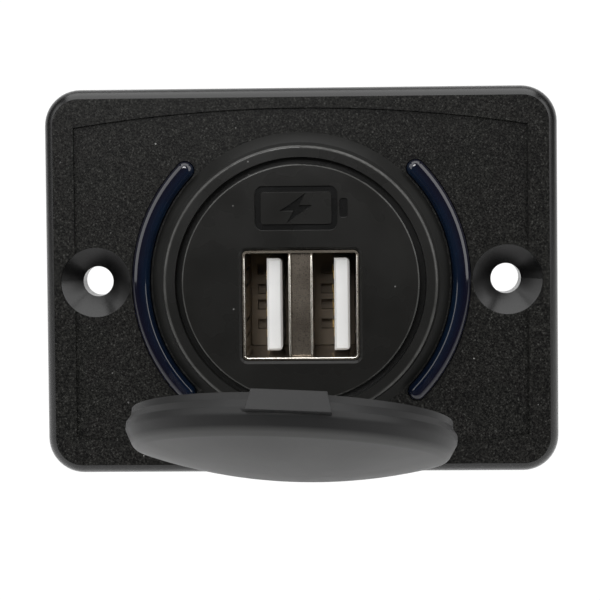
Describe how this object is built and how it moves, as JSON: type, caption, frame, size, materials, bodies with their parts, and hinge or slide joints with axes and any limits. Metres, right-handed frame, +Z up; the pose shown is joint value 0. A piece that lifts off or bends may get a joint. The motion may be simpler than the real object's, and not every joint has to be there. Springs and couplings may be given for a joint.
{
  "type": "car dual usb socket",
  "caption": "Panel-mounted vehicle USB charging socket with upright ports, blue light arcs, a countersunk face plate and a hinged round dust cap.",
  "frame": {"origin": "on the socket's axis, midway between the two screw holes, at the plate's mounting face", "axes": "-Y out of the socket's front, +Z up the plate, +X to the right as seen from the front"},
  "size_m": [0.0624, 0.0923, 0.047],
  "materials": {
    "plate_plastic": "black plastic with a fine spark texture",
    "blue_clear": "dark blue clear plastic, polished",
    "light_board": "white solder mask",
    "led_resin": "clear resin on a white base",
    "contact_metal": "plated phosphor bronze",
    "body_plastic": "black plastic, satin",
    "disc_plastic": "black plastic, fine matte",
    "shell_metal": "nickel-plated sheet",
    "insulator_plastic": "dark brown plastic",
    "tongue_plastic": "white plastic",
    "ring_plastic": "smooth black plastic",
    "pin_steel": "bright drawn steel",
    "cap_plastic": "soft dark grey elastomer, dull",
    "board_laminate": "green solder mask",
    "ferrite": "dull grey ferrite",
    "winding_wire": "lacquered copper wire",
    "capacitor_can": "sleeved aluminium can",
    "chip_resin": "black moulding resin",
    "terminal_brass": "tinned brass, stamped"
  },
  "bodies": {
    "socket": {"face_plate": "plate_plastic", "light_guide": "blue_clear", "led_board": "light_board", "leds": "led_resin", "led_leads": "contact_metal", "barrel": "body_plastic", "front_disc": "disc_plastic", "usb_shell": "shell_metal", "usb_partition": "shell_metal", "usb_insulator": "insulator_plastic", "tongue_left": "tongue_plastic", "tongue_right": "tongue_plastic", "contacts_left": "contact_metal", "contacts_right": "contact_metal", "cap_ring": "ring_plastic", "hinge_pin": "pin_steel", "fixing_nut": "body_plastic", "main_board": "board_laminate", "coil_core": "ferrite", "coil_winding": "winding_wire", "input_capacitor": "capacitor_can", "output_capacitor": "capacitor_can", "converter_chip": "chip_resin", "rectifier_diode": "chip_resin", "rear_cover": "body_plastic", "terminal_positive": "terminal_brass", "terminal_negative": "terminal_brass"},
    "cap": {"dust_cap": "cap_plastic"}
  },
  "joints": [
    {"name": "cap_hinge", "type": "hinge", "parent": "socket", "child": "cap", "pos_m": [-0.00089, -0.0064, -0.01958], "axis": [0.999, 0, -0.0454], "range_deg": [-72.2, 72]}
  ]
}
